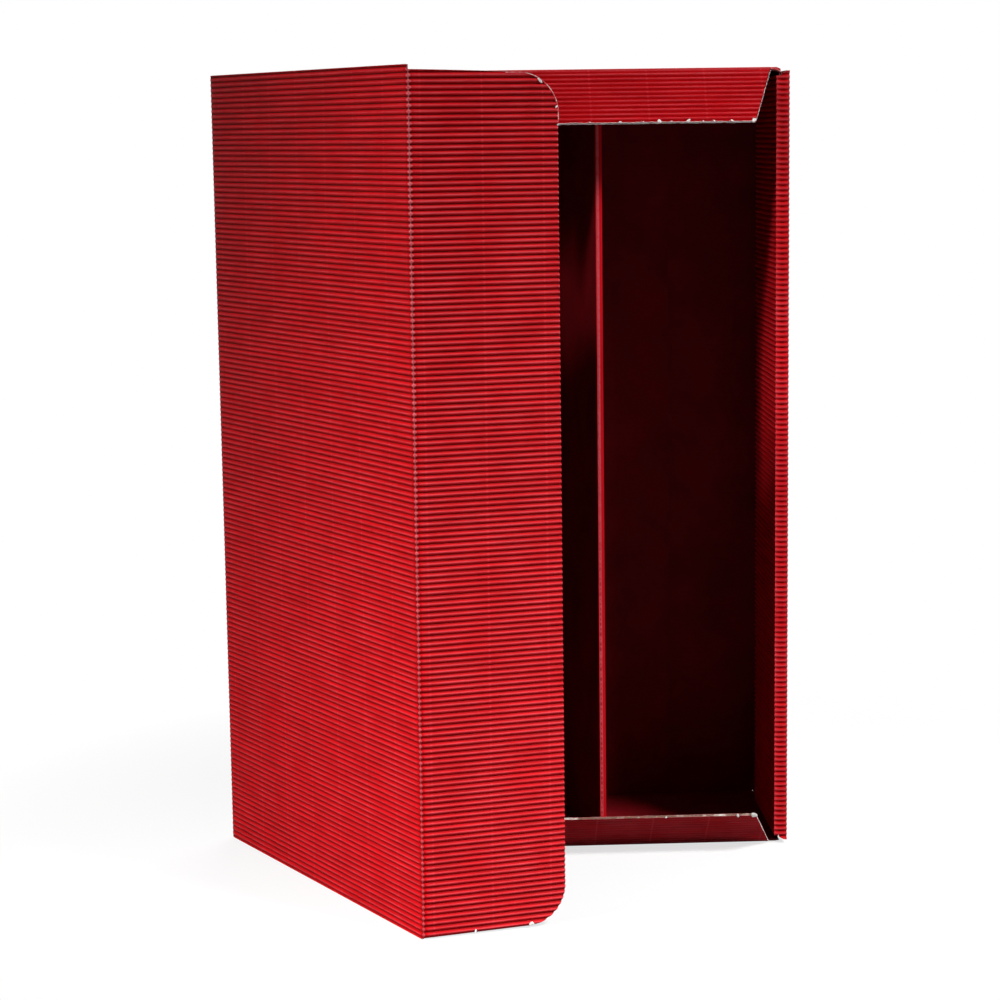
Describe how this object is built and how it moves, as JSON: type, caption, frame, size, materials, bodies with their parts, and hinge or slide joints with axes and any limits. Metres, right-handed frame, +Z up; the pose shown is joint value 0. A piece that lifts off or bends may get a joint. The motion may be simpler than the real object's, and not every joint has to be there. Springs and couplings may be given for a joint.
{
  "type": "bottle shipping box",
  "caption": "Upright two-bottle box of red open-flute cardboard, its side-hinged lid swung open, with a doubled right wall, dust flaps and a folded divider.",
  "frame": {"origin": "on the floor, under the middle of the upright box (the lid not counted)", "axes": "+Z up, +X to the box's right as one faces its open front, -Y out of the open front"},
  "size_m": [0.2698, 0.2248, 0.37],
  "materials": {
    "red_board": "matte",
    "red_board_insert": "matte"
  },
  "bodies": {
    "tray": {"tray": "red_board", "divider_insert": "red_board_insert"},
    "left_wall": {"left_wall": "red_board"},
    "front_cover": {"front_cover": "red_board"},
    "tuck_flap": {"tuck_flap": "red_board"}
  },
  "joints": [
    {"name": "wall_crease", "type": "hinge", "parent": "tray", "child": "left_wall", "pos_m": [-0.09875, 0.0465, 0.185], "axis": [0, 0, -1], "range_deg": [-21, 39]},
    {"name": "cover_crease", "type": "hinge", "parent": "left_wall", "child": "front_cover", "pos_m": [-0.17103, -0.01203, 0.185], "axis": [0, 0, -1], "range_deg": [-10, 80]},
    {"name": "tuck_crease", "type": "hinge", "parent": "front_cover", "child": "tuck_flap", "pos_m": [-0.07881, -0.17838, 0.185], "axis": [0, 0, -1], "range_deg": [-13, 77]}
  ]
}
